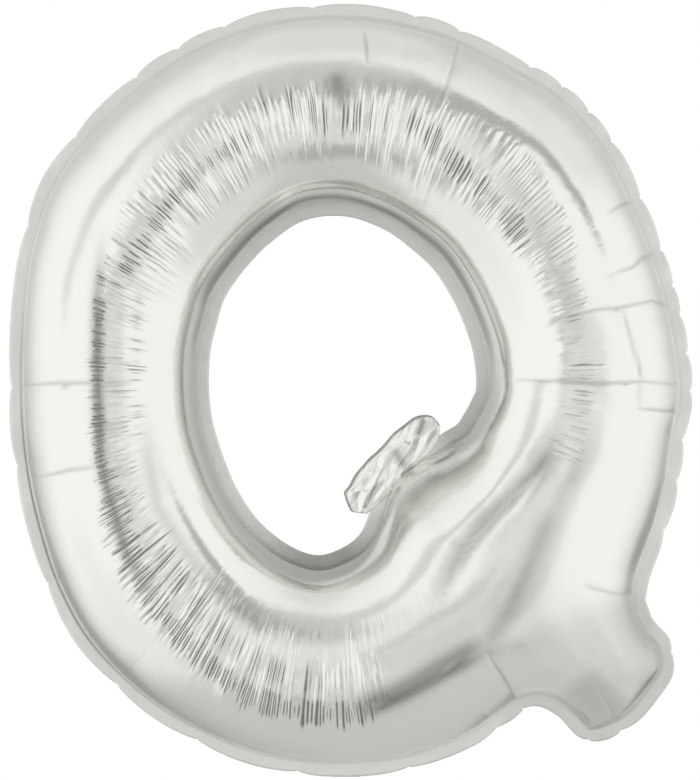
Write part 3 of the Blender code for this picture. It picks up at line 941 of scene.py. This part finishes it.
def add_neck_sheet(name, node, width, layer, flare, material):
    """One film of the neck, gently rippled and spreading from its neighbours towards the mouth.

    It is a thin closed sheet, pinched at both ends. Its sections run round the width, and its ripple, a sum
    of two waves, grows from the fold outwards.
    """
    run = np.linspace(0, 1, 60)[:, None]
    side = np.linspace(-1, 1, 25)[None]
    ripple = NECK_RIPPLES[0] * np.sin(9 * run + 2.2 * side) * np.sin(2.5 * side + 1.3)
    ripple += NECK_RIPPLES[1] * np.sin(23 * run - 4 * side)
    level = layer + smooth(0.05, 0.4, run) * ripple + flare * run**3 * (1 - 0.75 * side**2)
    x = width / 2 * side * (1 + 0.012 * np.sin(14 * run))
    y = NECK_START + NECK_LENGTH * run + 0.0012 * np.cos(3 * side) * run
    lower, upper = (
        np.stack(np.broadcast_arrays(x, y, level + way * NECK_FILM / 2), axis=2) for way in (-1, 1)
    )
    points = np.concatenate([lower, upper[:, ::-1]], axis=1)
    pinched = (points + points[:, ::-1]) / 2
    points = np.concatenate([pinched[:1], points, pinched[-1:]])
    x, out, up = np.moveaxis(points, 2, 0)
    y, z = out * cos(NECK_RISE) - up * sin(NECK_RISE), out * sin(NECK_RISE) + up * cos(NECK_RISE)
    turned = np.stack([x, y, z], axis=2) + np.array(NECK_FOLD)
    made = add_grid(name, turned, points[..., :2], material, ring=False, tube=True)
    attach(made, "neck")
    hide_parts(node)


def add_neck(film, liner):
    """The filling neck: two films, open at the mouth, with the valve's clear liner between them."""
    add_neck_sheet("neck_outer_film", "neck_front_film", NECK_WIDTH, -LAYER, -0.0022, film)
    add_neck_sheet("neck_inner_film", "neck_back_film", NECK_WIDTH, LAYER, 0.0018, film)
    add_neck_sheet("neck_liner", "valve_liner", LINER_WIDTH, 0.0, 0.0, liner)


def liner_material():
    """Thin clear film, slightly milky."""
    material, make, shader = new_material("clear_liner")
    shader.inputs["Base Color"].default_value = (*CLEAR_FILM, 1.0)
    shader.inputs["Roughness"].default_value = 0.25
    shader.inputs["Alpha"].default_value = 0.55
    noise = make("TexNoise", Vector=make("TexCoord", out="Object"), Scale=90.0, Detail=2.0)
    feed(shader, Normal=make("Bump", Height=noise, Distance=0.0003, Strength=1.0))
    return material


# Soft lights and shades of the studio, later rows over earlier ones. Columns: azimuth from the camera,
# positive to the right, elevation, half angles of full and of no brightness, all in degrees, and brightness.
STUDIO = [
    (0, 60, 12, 70, 0.86),
    (-60, -3, 24, 80, 1.00),
    (60, 7, 22, 76, 0.98),
    (180, -8, 8, 30, 0.42),
    (-56, -46, 10, 38, 0.88),
    (48, -48, 8, 34, 0.74),
    (0, -45, 10, 34, 0.60),
    (0, 32, 12, 28, 0.60),
    (0, 84, 6, 26, 0.76),
    (0, 2, 6, 25, 0.80),
    (2, -24, 6, 24, 0.76),
    (140, -26, 6, 26, 0.36),
    (-150, -26, 8, 32, 0.46),
    # rim of the light over the camera, paler on the left
    (-24, 43, 2, 9, 0.66),
    (-36, 38, 2, 9, 0.66),
    (-43, 28, 2, 9, 0.68),
    (-49, 20, 2, 9, 0.72),
    (-52, 11, 2, 8, 0.78),
    (8, 31, 3, 8, 0.42),
    (16, 37, 3, 8, 0.46),
    (25, 37, 3, 8, 0.46),
    (34, 34, 3, 8, 0.46),
    (42, 30, 2, 8, 0.46),
    (47, 23, 2, 7, 0.46),
    # greyer edge low in front
    (-17, -46, 3, 9, 0.50),
    (-8, -45, 3, 9, 0.47),
    (0, -47, 3, 9, 0.45),
    (7, -50, 3, 9, 0.45),
    # darker middle
    (-16, -11, 3, 9, 0.56),
    (-21, -27, 3, 9, 0.50),
    (-10, 0, 2, 7, 0.62),
    (3, -10, 3, 11, 0.66),
]
STUDIO_BASE = 0.66


def studio():
    """Soft white studio: two bright sides, greyer behind, in front and below, and darker in the middle."""
    world = bpy.data.worlds.new("studio")
    bpy.context.scene.world = world
    world.use_nodes = True
    make = node_maker(world.node_tree)
    background = world.node_tree.nodes["Background"]
    way = make("TexCoord", out="Generated")
    light = STUDIO_BASE
    for azimuth, elevation, inner, outer, value in STUDIO:
        level = cos(radians(elevation))
        unit = (level * sin(radians(azimuth)), -level * cos(radians(azimuth)), sin(radians(elevation)))
        dot = make("VectorMath", {"operation": "DOT_PRODUCT"}, out="Value", i0=way, i1=unit)
        mask = ranged(make, dot, (cos(radians(outer)), cos(radians(inner))), (0, 1), "SMOOTHSTEP")
        light = make("Mix", {"data_type": "FLOAT"}, i0=mask, i2=light, i3=value)

    plain = make("Mix", {"data_type": "FLOAT"}, i0=make("LightPath", out="Is Camera Ray"), i2=light, i3=1.0)
    world.node_tree.links.new(plain, background.inputs["Strength"])
    background.inputs["Color"].default_value = (1.0, 1.0, 0.995, 1.0)


FLOOR_LEVEL = -1.15
FLOOR_RADIUS = 1.9
FLOOR_FADE = (0.6, 1.2)


def add_floor():
    """A pale floor below the balloon, a disc that fades out before the camera's frame begins."""
    radii = np.linspace(0, FLOOR_RADIUS, 24)
    turns = np.linspace(0, 2 * pi, 97)[:-1, None]
    points = np.stack(np.broadcast_arrays(radii * np.cos(turns), radii * np.sin(turns), FLOOR_LEVEL), axis=2)
    material, make, shader = new_material("pale_floor")
    shader.inputs["Base Color"].default_value = (0.78, 0.78, 0.77, 1.0)
    shader.inputs["Roughness"].default_value = 0.9
    where = make("TexCoord", out="Object")
    flat = make("VectorMath", {"operation": "MULTIPLY"}, i0=where, i1=(1.0, 1.0, 0.0))
    far = make("VectorMath", {"operation": "LENGTH"}, out="Value", i0=flat)
    feed(shader, Alpha=ranged(make, far, FLOOR_FADE, (1, 0), "SMOOTHSTEP"))
    floor = add_grid("floor", points, points[..., :2], material)


CAMERA_DISTANCE = 3.2
FRAME_HEIGHT = 0.9624  # metres of the welding plane from the top to the bottom of the picture
AIM = (0.0062, -0.0062)  # x and z of the picture's middle
SENSOR = 24.0


def add_camera():
    """Straight from the front, at the ring's height."""
    lens = bpy.data.cameras.new("camera")
    lens.sensor_fit = "AUTO"
    lens.sensor_width = SENSOR
    lens.lens = SENSOR * CAMERA_DISTANCE / FRAME_HEIGHT
    lens.clip_start, lens.clip_end = 0.05, 50
    camera = bpy.data.objects.new("camera", lens)
    camera.location = (AIM[0], -CAMERA_DISTANCE, AIM[1])
    camera.rotation_euler = (pi / 2, 0, 0)
    bpy.context.scene.collection.objects.link(camera)
    bpy.context.scene.camera = camera


def main():
    bpy.context.scene.view_settings.view_transform = "Standard"
    film = film_material()
    add_film_halves(film)
    add_hems(hem_material())
    add_tail_tip(film)
    add_neck(film, liner_material())
    add_camera()
    studio()
    add_floor()


main()
